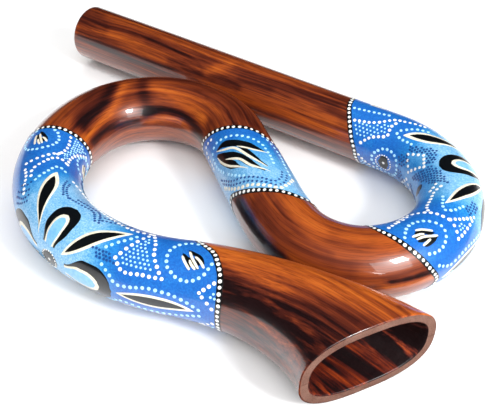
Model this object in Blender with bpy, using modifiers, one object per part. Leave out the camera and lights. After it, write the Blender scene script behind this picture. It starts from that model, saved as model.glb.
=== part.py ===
"""Compact S-shaped didgeridoo, lying flat as it does on a table.

The horn is carved from a wide plank that is sawn in half through its thickness. Each half gets half of
the bore as a groove, and the two are glued back together along the flat middle plane. A ring of beeswax
is pressed into the mouth end, where it makes the lip and narrows the bore.

The centreline of the bore is one flat curve of straight runs and arcs. Sections are round along the tube
and widen to a rounded oval at the bell. Lengths below are in millimetres and angles in degrees; the
script builds in metres, with +X along the mouth tube, +Z up and the origin under the middle of the part.
"""

import math

import bmesh
import bpy
from mathutils import Vector

MM = 0.001

# Centreline, from the mouth end to the bell: straight runs, and arcs as (radius, turn).
MOUTH_TUBE = 346.0
RIGHT_BEND = ((84.0, -130.5), (57.0, -74.5), (175.0, -12.5))
DIAGONAL = 92.0
LEFT_BEND = ((72.0, 126.0), (113.0, 84.0), (154.0, 30.5))
BELL_BEND = (232.0, -36.0)

# Round tube: (distance from the mouth end, outer radius, bore radius), eased from one to the next.
TUBE_SIZES = (
    (0.0, 27.0, 18.0),
    (330.0, 25.5, 17.5),
    (820.0, 28.5, 20.5),
    (1110.0, 26.0, 18.5),
)

# The bell flares from the last tube size to this rounded oval, whose face is cut at a slant.
RIM_HALF_WIDTH = 50.5
RIM_HALF_HEIGHT = 31.0
RIM_WALL = 7.5
RIM_SLANT = -17.0
FLARE_POWER = 3.3
ROUND_EXPONENT = 2.0
RIM_EXPONENT = 2.6

# Softened edges of the two ends, and the glue line between the halves.
MOUTH_EDGE = 1.5
RIM_EDGE = 1.0
SEAM_GAP = 0.3

# Beeswax lip: a collar in the bore and a low flange over the end grain, pressed flat where the player's
# mouth rests, between the two radii of WAX_LIP.
WAX_BORE = 15.0
WAX_DEPTH = 14.0
WAX_FLANGE_RADIUS = 22.0
WAX_FLANGE_HEIGHT = 2.3
WAX_LIP = (17.6, 20.2)
WAX_GAP = 0.3

# Facets.
STEP_TURN = 6.0
STEP_LENGTH = 60.0
BELL_STEP = 14.0
ARC_FACETS = 10
WAX_FACETS = 40


def path_elements():
    """The centreline as (length, curvature) pairs, with left turns positive."""
    elements = [(MOUTH_TUBE, 0.0)]
    elements += [arc_element(radius, turn) for radius, turn in RIGHT_BEND]
    elements.append((DIAGONAL, 0.0))
    elements += [arc_element(radius, turn) for radius, turn in LEFT_BEND]
    elements.append(arc_element(*BELL_BEND))
    return elements


def arc_element(radius, turn):
    length = radius * math.radians(abs(turn))
    return length, math.copysign(1.0 / radius, turn)


PATH = path_elements()
PATH_LENGTH = sum(length for length, _ in PATH)
BELL_START = TUBE_SIZES[-1][0]


def path_point(distance):
    """Position on the centreline and its heading in radians, with the mouth end at the origin."""
    x, y, heading = 0.0, 0.0, 0.0
    for length, curvature in PATH:
        run = min(distance, length)
        turn = curvature * run
        chord = run if curvature == 0.0 else 2.0 * math.sin(turn / 2.0) / curvature
        x += chord * math.cos(heading + turn / 2.0)
        y += chord * math.sin(heading + turn / 2.0)
        heading += turn
        distance -= run
        if distance <= 0.0:
            break
    return Vector((x, y, 0.0)), heading


def ease(t):
    """Smooth step from 0 to 1."""
    t = min(max(t, 0.0), 1.0)
    return t * t * (3.0 - 2.0 * t)


def tube_radii(distance):
    """Outer and bore radius of the round tube."""
    for (start, outer_a, bore_a), (end, outer_b, bore_b) in zip(TUBE_SIZES, TUBE_SIZES[1:]):
        if distance <= end:
            blend = ease((distance - start) / (end - start))
            return outer_a + (outer_b - outer_a) * blend, bore_a + (bore_b - bore_a) * blend
    return TUBE_SIZES[-1][1], TUBE_SIZES[-1][2]


class Section:
    """Cross-section of the horn: where it is, and the half sizes of its outside and its bore."""

    def __init__(self, distance):
        flare = max(0.0, (distance - BELL_START) / (PATH_LENGTH - BELL_START))
        self.centre, heading = path_point(distance)
        heading += math.radians(RIM_SLANT) * flare ** 2
        self.across = Vector((-math.sin(heading), math.cos(heading), 0.0))
        self.exponent = ROUND_EXPONENT + (RIM_EXPONENT - ROUND_EXPONENT) * ease(flare)
        outer, bore = tube_radii(distance)
        widening = flare ** FLARE_POWER
        rising = ease(flare)
        self.outer = (
            outer + (RIM_HALF_WIDTH - outer) * widening,
            outer + (RIM_HALF_HEIGHT - outer) * rising,
        )
        self.bore = (
            bore + (RIM_HALF_WIDTH - RIM_WALL - bore) * widening,
            bore + (RIM_HALF_HEIGHT - RIM_WALL - bore) * rising,
        )

    def half_arc(self, half_sizes, side):
        """Points of one half of an oval from the seam over the top (side 1) or bottom (side -1)."""
        half_width, half_height = half_sizes
        seam = SEAM_GAP / 2.0
        points = []
        for i in range(ARC_FACETS + 1):
            angle = math.pi * i / ARC_FACETS
            power = 2.0 / self.exponent
            sideways = math.copysign(abs(math.cos(angle)) ** power, math.cos(angle)) * half_width
            upward = seam + (half_height - seam) * abs(math.sin(angle)) ** power
            points.append(self.centre + self.across * sideways + Vector((0.0, 0.0, side * upward)))
        return points

    def inset(self, outer_inset, bore_inset):
        """The section with its outside drawn in and its bore opened, for a softened edge."""
        self.outer = tuple(size - outer_inset for size in self.outer)
        self.bore = tuple(size + bore_inset for size in self.bore)
        return self


def section_distances():
    """Distances of the sections: closer together where the path turns tightly, and along the bell."""
    distances = [0.0, MOUTH_EDGE]
    start = 0.0
    for length, curvature in PATH:
        longest = BELL_STEP if start + length > BELL_START else STEP_LENGTH
        by_turn = math.ceil(math.degrees(abs(curvature) * length) / STEP_TURN)
        pieces = max(by_turn, math.ceil(length / longest))
        distances += [start + length * (i + 1) / pieces for i in range(pieces)]
        start += length
    distances[-1] = PATH_LENGTH - RIM_EDGE
    distances.append(PATH_LENGTH)
    return distances


def horn_sections():
    distances = section_distances()
    sections = [Section(distance) for distance in distances]
    sections[0].inset(MOUTH_EDGE, 0.0)
    sections[-1].inset(RIM_EDGE, RIM_EDGE)
    return sections


def part_origin(sections):
    """The point under the middle of the part, in the path's own frame."""
    points = [point for s in sections for point in s.half_arc(s.outer, 1) + s.half_arc(s.outer, -1)]
    points.append(Vector((-WAX_GAP - WAX_FLANGE_HEIGHT, 0.0, 0.0)))
    lows = [min(point[axis] for point in points) for axis in range(3)]
    highs = [max(point[axis] for point in points) for axis in range(3)]
    return Vector(((lows[0] + highs[0]) / 2.0, (lows[1] + highs[1]) / 2.0, lows[2]))


def add_object(name, mesh, material, collection):
    mesh.materials.append(material)
    new_object = bpy.data.objects.new(name, mesh)
    collection.objects.link(new_object)
    return new_object


def body_half(name, side, sections, origin, material, collection):
    """One carved half: the space between the outer arcs and the bore arcs, lofted along the path."""
    half = bmesh.new()
    rings = []
    for section in sections:
        outer = section.half_arc(section.outer, side)
        bore = section.half_arc(section.bore, side)
        rings.append([half.verts.new((point - origin) * MM) for point in outer + bore[::-1]])
    count = len(rings[0])
    for ring, following in zip(rings, rings[1:]):
        for i in range(count):
            j = (i + 1) % count
            half.faces.new((ring[i], ring[j], following[j], following[i]))
    for ring in (rings[0], rings[-1]):
        for i in range(ARC_FACETS):
            half.faces.new((ring[i], ring[i + 1], ring[count - 2 - i], ring[count - 1 - i]))
    bmesh.ops.recalc_face_normals(half, faces=half.faces)
    mesh = bpy.data.meshes.new(name)
    half.to_mesh(mesh)
    half.free()
    return add_object(name, mesh, material, collection)


def beeswax_mouthpiece(sections, origin, material, collection):
    """Turned ring of wax: its profile is (along the tube, radius), spun about the tube's axis."""
    collar = sections[0].bore[0] - WAX_GAP
    face = -WAX_GAP
    lip = -WAX_GAP - WAX_FLANGE_HEIGHT
    profile = (
        (WAX_DEPTH, collar),
        (face, collar),
        (face, WAX_FLANGE_RADIUS),
        (face - 0.4 * WAX_FLANGE_HEIGHT, WAX_FLANGE_RADIUS - 0.1),
        (lip + 0.15 * WAX_FLANGE_HEIGHT, WAX_FLANGE_RADIUS - 0.9),
        (lip, WAX_LIP[1]),
        (lip, WAX_LIP[0]),
        (lip + 0.15 * WAX_FLANGE_HEIGHT, WAX_BORE + 1.5),
        (face - 0.4 * WAX_FLANGE_HEIGHT, WAX_BORE + 0.5),
        (face + 1.5, WAX_BORE),
        (WAX_DEPTH - 4.0, WAX_BORE),
        (WAX_DEPTH, WAX_BORE + 1.2),
    )
    outline = bmesh.new()
    verts = [outline.verts.new((along * MM, 0.0, radius * MM)) for along, radius in profile]
    for first, second in zip(verts, verts[1:] + verts[:1]):
        outline.edges.new((first, second))
    mesh = bpy.data.meshes.new("beeswax_mouthpiece")
    outline.to_mesh(mesh)
    outline.free()
    ring = add_object("beeswax_mouthpiece", mesh, material, collection)
    ring.location = -origin * MM
    spin = ring.modifiers.new("turned", "SCREW")
    spin.axis = "X"
    spin.steps = WAX_FACETS
    spin.render_steps = WAX_FACETS
    spin.use_merge_vertices = True
    spin.merge_threshold = 0.00001
    spin.use_normal_calculate = True
    spin.use_normal_flip = True
    return ring


def plain_material(name, colour, roughness):
    material = bpy.data.materials.new(name)
    material.use_nodes = True
    shader = material.node_tree.nodes["Principled BSDF"]
    shader.inputs["Base Color"].default_value = (*colour, 1.0)
    shader.inputs["Roughness"].default_value = roughness
    shader.inputs["Metallic"].default_value = 0.0
    return material


def build():
    for old in list(bpy.data.objects):
        bpy.data.objects.remove(old, do_unlink=True)
    collection = bpy.data.collections.new("didgeridoo")
    bpy.context.scene.collection.children.link(collection)

    wood = plain_material("lacquered_wood", (0.30, 0.10, 0.03), 0.25)
    wax = plain_material("beeswax", (0.55, 0.34, 0.10), 0.55)

    sections = horn_sections()
    origin = part_origin(sections)
    body_half("upper_body_half", 1, sections, origin, wood, collection)
    body_half("lower_body_half", -1, sections, origin, wood, collection)
    beeswax_mouthpiece(sections, origin, wax, collection)


build()
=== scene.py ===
"""Looks of the compact S-shaped didgeridoo: lacquered figured wood with three painted bands.

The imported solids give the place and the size. The two carved halves and the wax ring are built again from
the same formulas with fine facets. The paint lies over the wood as thin coats, and every leaf, loop, line
and dot is raised geometry, placed by its distance along the horn in millimetres and its angle round the
tube in degrees. Angle 0 is the top of the tube and positive angles lie to the left when going from the
mouth to the bell.
"""

import math
import random

import bpy
import numpy as np
from mathutils import Matrix, Vector


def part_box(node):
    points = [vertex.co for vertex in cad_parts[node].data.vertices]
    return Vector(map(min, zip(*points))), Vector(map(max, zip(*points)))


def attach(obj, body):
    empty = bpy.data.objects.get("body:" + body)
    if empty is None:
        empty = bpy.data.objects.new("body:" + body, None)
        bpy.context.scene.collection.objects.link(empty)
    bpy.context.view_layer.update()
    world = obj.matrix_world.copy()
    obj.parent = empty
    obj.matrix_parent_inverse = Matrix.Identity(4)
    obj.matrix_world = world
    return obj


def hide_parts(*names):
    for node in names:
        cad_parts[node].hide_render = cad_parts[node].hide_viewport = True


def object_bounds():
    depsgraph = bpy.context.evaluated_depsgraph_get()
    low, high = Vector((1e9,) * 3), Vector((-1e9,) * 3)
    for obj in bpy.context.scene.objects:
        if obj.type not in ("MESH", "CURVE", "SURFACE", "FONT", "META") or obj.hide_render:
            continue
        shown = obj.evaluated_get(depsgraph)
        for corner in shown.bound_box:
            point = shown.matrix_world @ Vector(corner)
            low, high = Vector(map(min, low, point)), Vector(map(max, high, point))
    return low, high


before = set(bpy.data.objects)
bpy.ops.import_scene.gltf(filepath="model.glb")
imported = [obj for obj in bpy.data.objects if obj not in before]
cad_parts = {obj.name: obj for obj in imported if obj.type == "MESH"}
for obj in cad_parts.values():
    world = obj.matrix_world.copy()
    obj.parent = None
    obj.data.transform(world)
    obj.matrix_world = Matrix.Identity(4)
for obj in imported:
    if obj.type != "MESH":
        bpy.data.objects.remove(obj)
cad_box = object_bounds()

MM = 0.001
HAND = random.Random(11)

# -------------------------------------------------- the horn's shape, as in the solids (mm, degrees)
MOUTH_TUBE = 346.0
RIGHT_BEND = ((84.0, -130.5), (57.0, -74.5), (175.0, -12.5))
DIAGONAL = 92.0
LEFT_BEND = ((72.0, 126.0), (113.0, 84.0), (154.0, 30.5))
BELL_BEND = (232.0, -36.0)
TUBE_SIZES = ((0.0, 27.0, 18.0), (330.0, 25.5, 17.5), (820.0, 28.5, 20.5), (1110.0, 26.0, 18.5))
RIM_HALF_WIDTH = 50.5
RIM_HALF_HEIGHT = 31.0
RIM_WALL = 7.5
RIM_SLANT = -17.0
FLARE_POWER = 3.3
ROUND_EXPONENT = 2.0
RIM_EXPONENT = 2.6
MOUTH_EDGE = 1.5
RIM_EDGE = 1.0
SEAM_GAP = 0.3
WAX_BORE = 15.0
WAX_DEPTH = 14.0
WAX_FLANGE_RADIUS = 22.0
WAX_FLANGE_HEIGHT = 2.3
WAX_LIP = (17.6, 20.2)
WAX_GAP = 0.3
GLUE_RECESS = 0.02
GLUE_END_GAP = 0.3

# Fineness of the meshes.
STATION_STEP = 2.5
HALF_FACETS = 44
EDGE_STEPS = 4
COAT_FACETS = 108
COAT_STEP = 2.2
COLUMN_WIDTH = 2.2
RIBBON_STEP = 1.6
DOT_SIDES = 10
WAX_FACETS = 96
GLUE_STATIONS = 500
SHARP_ANGLE = 50.0

# Heights of the paint layers above the wood.
COAT_LIFT = 0.12
LAYERS = (0.22, 0.30, 0.37)
PAINT_FOOT = -0.10
DOT_HEIGHT = 0.34


def smooth(t):
    """A step from 0 to 1 with soft ends."""
    t = np.clip(t, 0.0, 1.0)
    return t * t * (3.0 - 2.0 * t)


def path_elements():
    """The centreline as (length, curvature) pairs, with left turns positive."""
    def arcs(bends):
        return [(r * math.radians(abs(turn)), math.copysign(1.0 / r, turn)) for r, turn in bends]

    return [(MOUTH_TUBE, 0.0), *arcs(RIGHT_BEND), (DIAGONAL, 0.0), *arcs(LEFT_BEND), *arcs([BELL_BEND])]


PATH = path_elements()
PATH_LENGTH = sum(length for length, _ in PATH)
BELL_START = TUBE_SIZES[-1][0]


def path_point(distance):
    """Position on the centreline and its heading in radians, with the mouth end at the origin."""
    x, y, heading = 0.0, 0.0, 0.0
    for length, curvature in PATH:
        run = min(distance, length)
        turn = curvature * run
        chord = run if curvature == 0.0 else 2.0 * math.sin(turn / 2.0) / curvature
        x += chord * math.cos(heading + turn / 2.0)
        y += chord * math.sin(heading + turn / 2.0)
        heading += turn
        distance -= run
        if distance <= 0.0:
            break
    return x, y, heading


PATH_STOPS = np.linspace(0.0, PATH_LENGTH, 2600)
PATH_ROWS = np.array([path_point(stop) for stop in PATH_STOPS])


def part_offset():
    """From the path's own frame to the part's frame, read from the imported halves."""
    upper_low, upper_high = (Vector(corner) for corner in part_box("upper_body_half"))
    lower_low, _ = (Vector(corner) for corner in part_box("lower_body_half"))
    mid_height = (lower_low.z + upper_high.z) / 2.0
    return np.array([upper_low.x / MM, upper_high.y / MM - TUBE_SIZES[0][1], mid_height / MM])


OFFSET = part_offset()


def sections(distance):
    """Centre, heading, half sizes of the outside and of the bore, and oval exponent at many distances."""
    x, y, heading = (np.interp(distance, PATH_STOPS, column) for column in PATH_ROWS.T)
    flare = np.clip((distance - BELL_START) / (PATH_LENGTH - BELL_START), 0.0, 1.0)
    heading = heading + math.radians(RIM_SLANT) * flare ** 2
    outer = np.full_like(x, TUBE_SIZES[-1][1])
    bore = np.full_like(x, TUBE_SIZES[-1][2])
    for (start, outer_a, bore_a), (end, outer_b, bore_b) in zip(TUBE_SIZES, TUBE_SIZES[1:]):
        inside = (distance >= start) & (distance <= end)
        blend = smooth((distance - start) / (end - start))
        outer = np.where(inside, outer_a + (outer_b - outer_a) * blend, outer)
        bore = np.where(inside, bore_a + (bore_b - bore_a) * blend, bore)
    widening = flare ** FLARE_POWER
    rising = smooth(flare)
    outside = (outer + (RIM_HALF_WIDTH - outer) * widening, outer + (RIM_HALF_HEIGHT - outer) * rising)
    inside = (bore + (RIM_HALF_WIDTH - RIM_WALL - bore) * widening,
              bore + (RIM_HALF_HEIGHT - RIM_WALL - bore) * rising)
    exponent = ROUND_EXPONENT + (RIM_EXPONENT - ROUND_EXPONENT) * rising
    return x, y, heading, outside, inside, exponent


def oval_points(distance, angle, in_bore=False, inset=0.0):
    """Points at these distances and angles on the outside or in the bore, in the part's frame (mm)."""
    x, y, heading, outside, inside, exponent = sections(distance)
    half_width, half_height = inside if in_bore else outside
    half_width = half_width - inset
    half_height = half_height - inset
    turn = np.radians(angle)
    power = 2.0 / exponent
    sideways = np.sign(np.sin(turn)) * np.abs(np.sin(turn)) ** power * half_width
    upward = np.sign(np.cos(turn)) * np.abs(np.cos(turn)) ** power * half_height
    return np.stack([x - np.sin(heading) * sideways, y + np.cos(heading) * sideways, upward], -1) + OFFSET


def surface(distance, angle):
    """Outside points, their outward normals, and the lengths of a step along (1 mm) and round (1 degree)."""
    distance = np.atleast_1d(np.asarray(distance, float))
    angle = np.atleast_1d(np.asarray(angle, float))
    point = oval_points(distance, angle)
    along = oval_points(distance + 0.5, angle) - oval_points(distance - 0.5, angle)
    around = oval_points(distance, angle + 0.5) - oval_points(distance, angle - 0.5)
    normal = np.cross(around, along)
    normal /= np.linalg.norm(normal, axis=-1, keepdims=True)
    outward = point - oval_points(distance, angle, inset=5.0)
    normal *= np.sign(np.sum(normal * outward, -1, keepdims=True))
    return point, normal, np.linalg.norm(along, axis=-1), np.linalg.norm(around, axis=-1)


def lifted(distance, angle, height):
    """Points at a height above the wood, one for all of them or one for each."""
    point, normal, _, _ = surface(distance, angle)
    return point + normal * np.asarray(height, float).reshape(-1, 1)


# ---------------------------------------------------------------- small helpers
def ring_quads(rings, count, start=0):
    """Quads between neighbouring rings of count points each, the first ring starting at point start."""
    quads = []
    for low in range(start, start + (rings - 1) * count, count):
        high = low + count
        for k in range(count):
            m = (k + 1) % count
            quads.append((low + k, low + m, high + m, high + k))
    return quads


def turned_over(quads):
    """The same quads facing the other way."""
    return [(a, d, c, b) for a, b, c, d in quads]


def add_piece(name, points, faces, materials, replaced=(), face_materials=None, layers=None):
    """Makes a smooth-shaded object from points in mm, gives it its materials and rides it on the body."""
    mesh = bpy.data.meshes.new(name)
    mesh.from_pydata([tuple(p) for p in np.asarray(points) * MM], [], faces)
    for material in materials:
        mesh.materials.append(material)
    if face_materials is not None:
        mesh.polygons.foreach_set("material_index", face_materials)
    for layer, values in (layers or {}).items():
        kind, field = ("FLOAT_VECTOR", "vector") if np.ndim(values) == 2 else ("FLOAT", "value")
        attribute = mesh.attributes.new(layer, kind, "POINT")
        attribute.data.foreach_set(field, np.asarray(values, np.float32).ravel())
    mesh.validate()
    mesh.shade_smooth()
    mesh.set_sharp_from_angle(angle=math.radians(SHARP_ANGLE))
    piece = bpy.data.objects.new(name, mesh)
    bpy.context.scene.collection.objects.link(piece)
    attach(piece, "root")
    if replaced:
        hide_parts(*replaced)


def spline(points, step=0.6):
    """A smooth curve through (distance, angle) points, read at even steps of its length in mm."""
    points = np.asarray(points, float)
    if len(points) == 2:
        points = np.array([points[0], points.mean(0), points[1]])
    padded = np.vstack([2 * points[0] - points[1], points, 2 * points[-1] - points[-2]])
    pieces = []
    for a, b, c, d in zip(padded, padded[1:], padded[2:], padded[3:]):
        t = np.linspace(0.0, 1.0, 16, endpoint=False)[:, None]
        pieces.append(0.5 * (2 * b + (c - a) * t + (2 * a - 5 * b + 4 * c - d) * t ** 2
                             + (3 * b - a - 3 * c + d) * t ** 3))
    pieces.append(points[-1:])
    curve = np.vstack(pieces)
    place = surface(curve[:, 0], curve[:, 1])[0]
    length = np.concatenate([[0.0], np.cumsum(np.linalg.norm(np.diff(place, axis=0), axis=1))])
    count = max(2, int(round(length[-1] / step)) + 1)
    stops = np.linspace(0.0, length[-1], count)
    return np.stack([np.interp(stops, length, curve[:, k]) for k in (0, 1)], -1)


class Paint:
    """All the shapes of one colour on one band, gathered into one mesh of closed bodies."""

    def __init__(self):
        self.points = []
        self.faces = []
        self.count = 0
        self.edges = None

    def add(self, points, faces):
        """Takes in one closed body."""
        self.points.append(np.asarray(points))
        self.faces += [tuple(i + self.count for i in face) for face in faces]
        self.count += len(points)

    def ribbon(self, route, half_width, layer=0):
        """A raised stroke along a route. half_width(t) is in mm, with t from 0 to 1 along it."""
        line = spline(route, RIBBON_STEP)
        t = np.linspace(0.0, 1.0, len(line))
        half = np.maximum([half_width(value) for value in t], 0.03)
        _, _, along, around = surface(line[:, 0], line[:, 1])
        step = np.gradient(line, axis=0) * np.stack([along, around], -1)
        step /= np.linalg.norm(step, axis=1, keepdims=True) + 1e-9
        columns = max(3, int(math.ceil(2 * half.max() / COLUMN_WIDTH)) + 1)
        across = np.concatenate([[-1.0], np.linspace(-0.94, 0.94, columns), [1.0]])
        rise = np.concatenate([[PAINT_FOOT], np.full(columns, LAYERS[layer]), [PAINT_FOOT]])
        rise[1] = rise[-2] = LAYERS[layer] - 0.02
        distance = line[:, :1] - step[:, 1:] / along[:, None] * half[:, None] * across
        angle = line[:, 1:] + step[:, :1] / around[:, None] * half[:, None] * across
        height = np.broadcast_to(rise, distance.shape)
        points = lifted(distance.ravel(), angle.ravel(), height.ravel())
        wide = len(across)
        rows = len(line)
        faces = turned_over(ring_quads(rows, wide))
        faces.append(tuple(range(wide)))
        faces.append(tuple(range((rows - 1) * wide, rows * wide))[::-1])
        self.add(points, faces)

    def dot(self, distance, angle, radius):
        """A low dome of thick paint, left out where it would run over an edge of the band."""
        radius *= 1.0 + HAND.uniform(-0.08, 0.08)
        if self.edges and not self.has_room(distance, angle):
            return
        _, _, along, around = surface(distance, angle)
        turn = np.linspace(0.0, 2.0 * math.pi, DOT_SIDES, endpoint=False)
        rings = ((1.0, PAINT_FOOT), (0.95, 0.62 * DOT_HEIGHT), (0.6, 0.93 * DOT_HEIGHT))
        distances, angles, heights = [], [], []
        for share, lift in rings:
            distances += list(distance + share * radius / along[0] * np.cos(turn))
            angles += list(angle + share * radius / around[0] * np.sin(turn))
            heights += [lift + COAT_LIFT] * DOT_SIDES
        distances.append(distance)
        angles.append(angle)
        heights.append(DOT_HEIGHT + COAT_LIFT)
        faces = ring_quads(len(rings), DOT_SIDES)
        top = len(rings) * DOT_SIDES
        last = top - DOT_SIDES
        faces += [(last + i, last + (i + 1) % DOT_SIDES, top) for i in range(DOT_SIDES)]
        faces.append(tuple(range(DOT_SIDES))[::-1])
        self.add(lifted(distances, angles, heights), faces)

    def has_room(self, distance, angle):
        """Whether a dot here stays clear of both edges of the band."""
        start, end = (edge_distance(edge, angle) for edge in self.edges)
        return start + EDGE_ROOM < distance < end - EDGE_ROOM

    def dots(self, route, radius, gap, to_end=True):
        """Dots along a route, about gap mm apart, each a little off its place as by hand.

        to_end is False where the next route starts at this one's end, or a ring closes there.
        """
        line = spline(route, gap)
        for distance, angle in line if to_end else line[:-1]:
            self.dot(distance + HAND.uniform(-0.15, 0.15), angle + HAND.uniform(-0.35, 0.35), radius)

    def disc(self, distance, angle, radius):
        """A round patch."""
        self.ribbon(((distance - radius, angle), (distance + radius, angle)),
                    lambda t: radius * math.sqrt(max(0.0, 1.0 - (2 * t - 1) ** 2)))

    def piece(self, name, material, slot):
        """Makes the mesh, unless nothing was painted in this colour."""
        if self.count:
            add_piece(name, np.vstack(self.points), self.faces, [material])


def stretch_of(route, start, end):
    """The part of a route between two shares of its length."""
    line = spline(route)
    first, last = int(round(start * (len(line) - 1))), int(round(end * (len(line) - 1)))
    picks = np.linspace(first, last, 7).round().astype(int)
    return [tuple(line[pick]) for pick in picks]


def ring_route(distance, angle, radius):
    """Once round a circle that is drawn on the surface about (distance, angle)."""
    _, _, along, around = surface(distance, angle)
    turns = np.radians(np.linspace(0.0, 360.0, 13))
    return [(distance + radius * math.cos(turn) / along[0], angle + radius * math.sin(turn) / around[0])
            for turn in turns]


def leaf_width(half, fullest=0.5):
    """Half width of a pointed leaf that is fullest at a share of its length."""
    bend = math.log(0.5) / math.log(fullest)
    return lambda t: half * math.sin(math.pi * min(max(t, 0.0), 1.0) ** bend) ** 0.85


def drop_width(half, foot):
    """Half width of a loop petal: a narrow foot that swells to a round end."""
    def width(t):
        swell = foot + (1.0 - foot) * float(smooth(t / 0.42))
        return half * swell * math.sqrt(max(0.0, 1.0 - (max(0.0, t - 0.62) / 0.38) ** 2))
    return width


def stroke_width(half, start=0.25, end=0.15):
    """Half width of a brush stroke that swells between its ends."""
    return lambda t: half * (min(1.0, start + 4.0 * t) * min(1.0, end + 3.0 * (1.0 - t)))


def as_drawn(*route):
    """The place for a shape that stays where its points put it."""
    return list(route)


def flipped(axis):
    """A place for a shape: seen in a mirror at this angle round the tube."""
    return lambda *route: [(distance, 2.0 * axis - angle) for distance, angle in route]


def end_for_end(middle):
    """A place for a shape: turned about a distance along the horn, and over to the tube's other side."""
    return lambda *route: [(2 * middle - distance, angle + 180) for distance, angle in route]


def moved(along, around):
    """A place for a shape: shifted by a distance along the horn and an angle round it."""
    return lambda *route: [(distance + along, angle + around) for distance, angle in route]


# ---------------------------------------------------------------- procedural materials
def node(tree, kind, inputs=None, **settings):
    """A new shader node; an input is a fixed value or the socket that feeds it."""
    made = tree.nodes.new(kind)
    for key, value in settings.items():
        setattr(made, key, value)
    for key, value in (inputs or {}).items():
        if isinstance(value, bpy.types.NodeSocket):
            tree.links.new(value, made.inputs[key])
        else:
            made.inputs[key].default_value = value
    return made


def ramp(tree, factor, stops):
    """A colour that runs through (position, colour) stops."""
    made = node(tree, "ShaderNodeValToRGB", {"Fac": factor})
    elements = made.color_ramp.elements
    while len(elements) < len(stops):
        elements.new(0.5)
    for element, (position, colour) in zip(elements, stops):
        element.position = position
        element.color = (*colour, 1.0)
    return made.outputs["Color"]


def uneven(tree, factor, dark, light):
    """A colour that drifts between two shades with a noise."""
    return ramp(tree, factor, ((0.3, dark), (0.7, light)))


def math_node(tree, operation, *values, clamp=False):
    inputs = dict(enumerate(values))
    return node(tree, "ShaderNodeMath", inputs, operation=operation, use_clamp=clamp).outputs[0]


def mix(tree, blend, factor, first, second):
    made = node(tree, "ShaderNodeMix", {0: factor, 6: first, 7: second}, data_type="RGBA", blend_type=blend)
    return made.outputs[2]


def new_material(name, roughness, coat, coat_roughness=0.04):
    """A plain material with a clear coat, with its node tree and its shader."""
    material = bpy.data.materials.new(name)
    material.use_nodes = True
    tree = material.node_tree
    shader = tree.nodes["Principled BSDF"]
    shader.inputs["Roughness"].default_value = roughness
    shader.inputs["Coat Weight"].default_value = coat
    shader.inputs["Coat Roughness"].default_value = coat_roughness
    return material, tree, shader


def object_place(tree):
    return node(tree, "ShaderNodeTexCoord").outputs["Object"]


def stretched(tree, place, scale):
    """The place with each axis scaled by its own factor."""
    return node(tree, "ShaderNodeMapping", {"Vector": place, "Scale": scale}).outputs["Vector"]


def noise(tree, place, scale, detail=3.0, roughness=0.5):
    inputs = {"Vector": place, "Scale": scale, "Detail": detail, "Roughness": roughness}
    return node(tree, "ShaderNodeTexNoise", inputs).outputs["Fac"]


def bump(tree, shader, height, strength, distance):
    made = node(tree, "ShaderNodeBump", {"Height": height, "Strength": strength, "Distance": distance})
    tree.links.new(made.outputs["Normal"], shader.inputs["Normal"])


def vector_math(tree, operation, first, second):
    return node(tree, "ShaderNodeVectorMath", {0: first, 1: second}, operation=operation).outputs[0]


# How far (m) the grain wanders along the horn, sideways and up, and how strong its layers and streaks are.
FIGURE_WANDER = (0.03, 0.011, 0.011)
LAYER_CONTRAST = 0.95
STREAK_CONTRAST = 1.9
WOOD_SHADES = (
    (0.02, (0.012, 0.0035, 0.0040)),
    (0.24, (0.062, 0.0095, 0.0050)),
    (0.48, (0.165, 0.0270, 0.0070)),
    (0.74, (0.345, 0.0650, 0.0070)),
    (1.00, (0.520, 0.1180, 0.0110)),
)


def wander(tree, place):
    """The place pushed about slowly, mostly along the grain, so that the figure waves."""
    waves = {"Vector": stretched(tree, place, (7.0, 15.0, 15.0)), "Scale": 1.0, "Detail": 2.0}
    slow = node(tree, "ShaderNodeTexNoise", waves).outputs["Color"]
    centred = vector_math(tree, "SUBTRACT", slow, (0.5, 0.5, 0.5))
    pushed = vector_math(tree, "MULTIPLY", centred, FIGURE_WANDER)
    return vector_math(tree, "ADD", place, pushed)


def wood_colour(tree, shift=0.0):
    """Wood colour and pores. Layers and streaks follow the grain; grain and figure are held in the mesh."""
    grain = node(tree, "ShaderNodeAttribute", attribute_name="grain").outputs["Vector"]
    bent = wander(tree, grain)
    layers = noise(tree, stretched(tree, bent, (3.0, 32.0, 60.0)), 1.0, 4.0, 0.55)
    streaks = noise(tree, stretched(tree, bent, (5.0, 310.0, 310.0)), 1.0, 5.0, 0.62)
    pores = noise(tree, stretched(tree, bent, (60.0, 1300.0, 1300.0)), 1.0, 2.0, 0.5)
    figure = node(tree, "ShaderNodeAttribute", attribute_name="figure").outputs["Fac"]
    streakiness = node(tree, "ShaderNodeAttribute", attribute_name="streakiness").outputs["Fac"]
    base = math_node(tree, "ADD", figure, 0.5 + shift)
    centre = -(LAYER_CONTRAST + STREAK_CONTRAST) / 2.0
    lines = math_node(tree, "MULTIPLY_ADD", layers, LAYER_CONTRAST, centre)
    lines = math_node(tree, "MULTIPLY_ADD", streaks, STREAK_CONTRAST, lines)
    value = math_node(tree, "MULTIPLY_ADD", lines, streakiness, base, clamp=True)
    colour = ramp(tree, value, WOOD_SHADES)
    pore_shade = ramp(tree, pores, ((0.33, (0.42, 0.36, 0.34)), (0.50, (1.0, 1.0, 1.0))))
    return mix(tree, "MULTIPLY", 0.7, colour, pore_shade), pores


def lacquered_wood():
    """The outside: polished under clear lacquer."""
    material, tree, shader = new_material("lacquered_wood", 0.34, 1.0)
    colour, pores = wood_colour(tree)
    tree.links.new(colour, shader.inputs["Base Color"])
    bump(tree, shader, pores, 0.10, 0.0002)
    return material


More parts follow.
